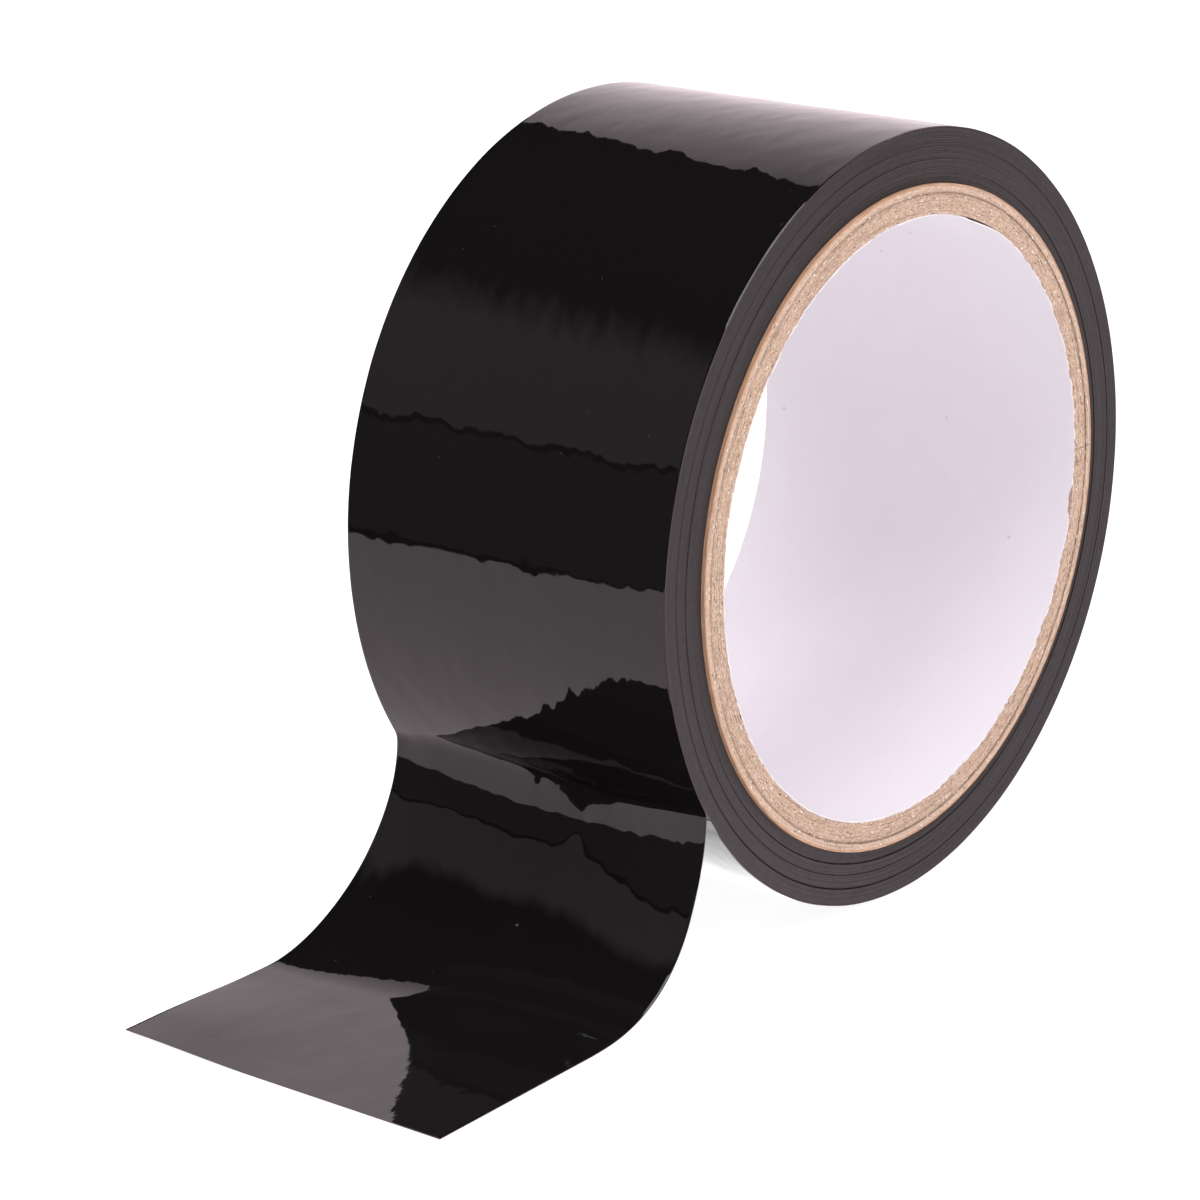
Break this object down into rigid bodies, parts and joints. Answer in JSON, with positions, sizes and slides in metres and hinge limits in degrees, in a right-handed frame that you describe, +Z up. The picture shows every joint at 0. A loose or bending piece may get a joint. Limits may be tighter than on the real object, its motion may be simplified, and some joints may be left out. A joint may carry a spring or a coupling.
{
  "type": "duct tape roll",
  "caption": "Roll of glossy black adhesive tape on a white-lined kraft paper core, stood on its edge, with the free end drawn off and lying flat.",
  "frame": {"origin": "on the axis of the core bore, halfway across the tape", "axes": "+Y along the core axis away from the open face that the free end is seen from, +Z up, and the free end leaves the roll towards -X"},
  "size_m": [0.1406, 0.05, 0.0982],
  "materials": {
    "tape_film": "mirror-glossy black PVC film",
    "tape_adhesive": "satin, slightly brown adhesive coat over black film",
    "wound_tape": "satin dark grey cut edges of the wound turns, with fine winding lines",
    "core_board": "rough cut kraft board with light and dark fibres",
    "core_kraft": "smooth orange-brown kraft paper",
    "liner_paper": "smooth white paper with a faint lilac cast"
  },
  "bodies": {
    "strip": {"last_turn_film": "tape_film", "last_turn_adhesive": "tape_adhesive"},
    "roll": {"core_liner": "liner_paper", "core_board_ply_1": "core_board", "core_board_ply_2": "core_board", "core_board_ply_3": "core_board", "core_board_ply_4": "core_board", "core_board_ply_5": "core_board", "core_board_ply_6": "core_board", "core_board_ply_7": "core_board", "core_board_ply_8": "core_board", "core_outer_ply": "core_kraft", "wound_band_1": "wound_tape", "wound_band_2": "wound_tape", "wound_band_3": "wound_tape", "wound_band_4": "wound_tape"},
    "tail": {"tail_film": "tape_film", "tail_adhesive": "tape_adhesive"}
  },
  "joints": [
    {"name": "roll_spin", "type": "hinge", "parent": "strip", "child": "roll", "pos_m": [0, 0, 0], "axis": [0, 1, 0], "continuous": true},
    {"name": "tail_lift", "type": "hinge", "parent": "strip", "child": "tail", "pos_m": [-0.0425, 0, -0.02454], "axis": [0, 1, 0], "range_deg": [0, 90]}
  ]
}
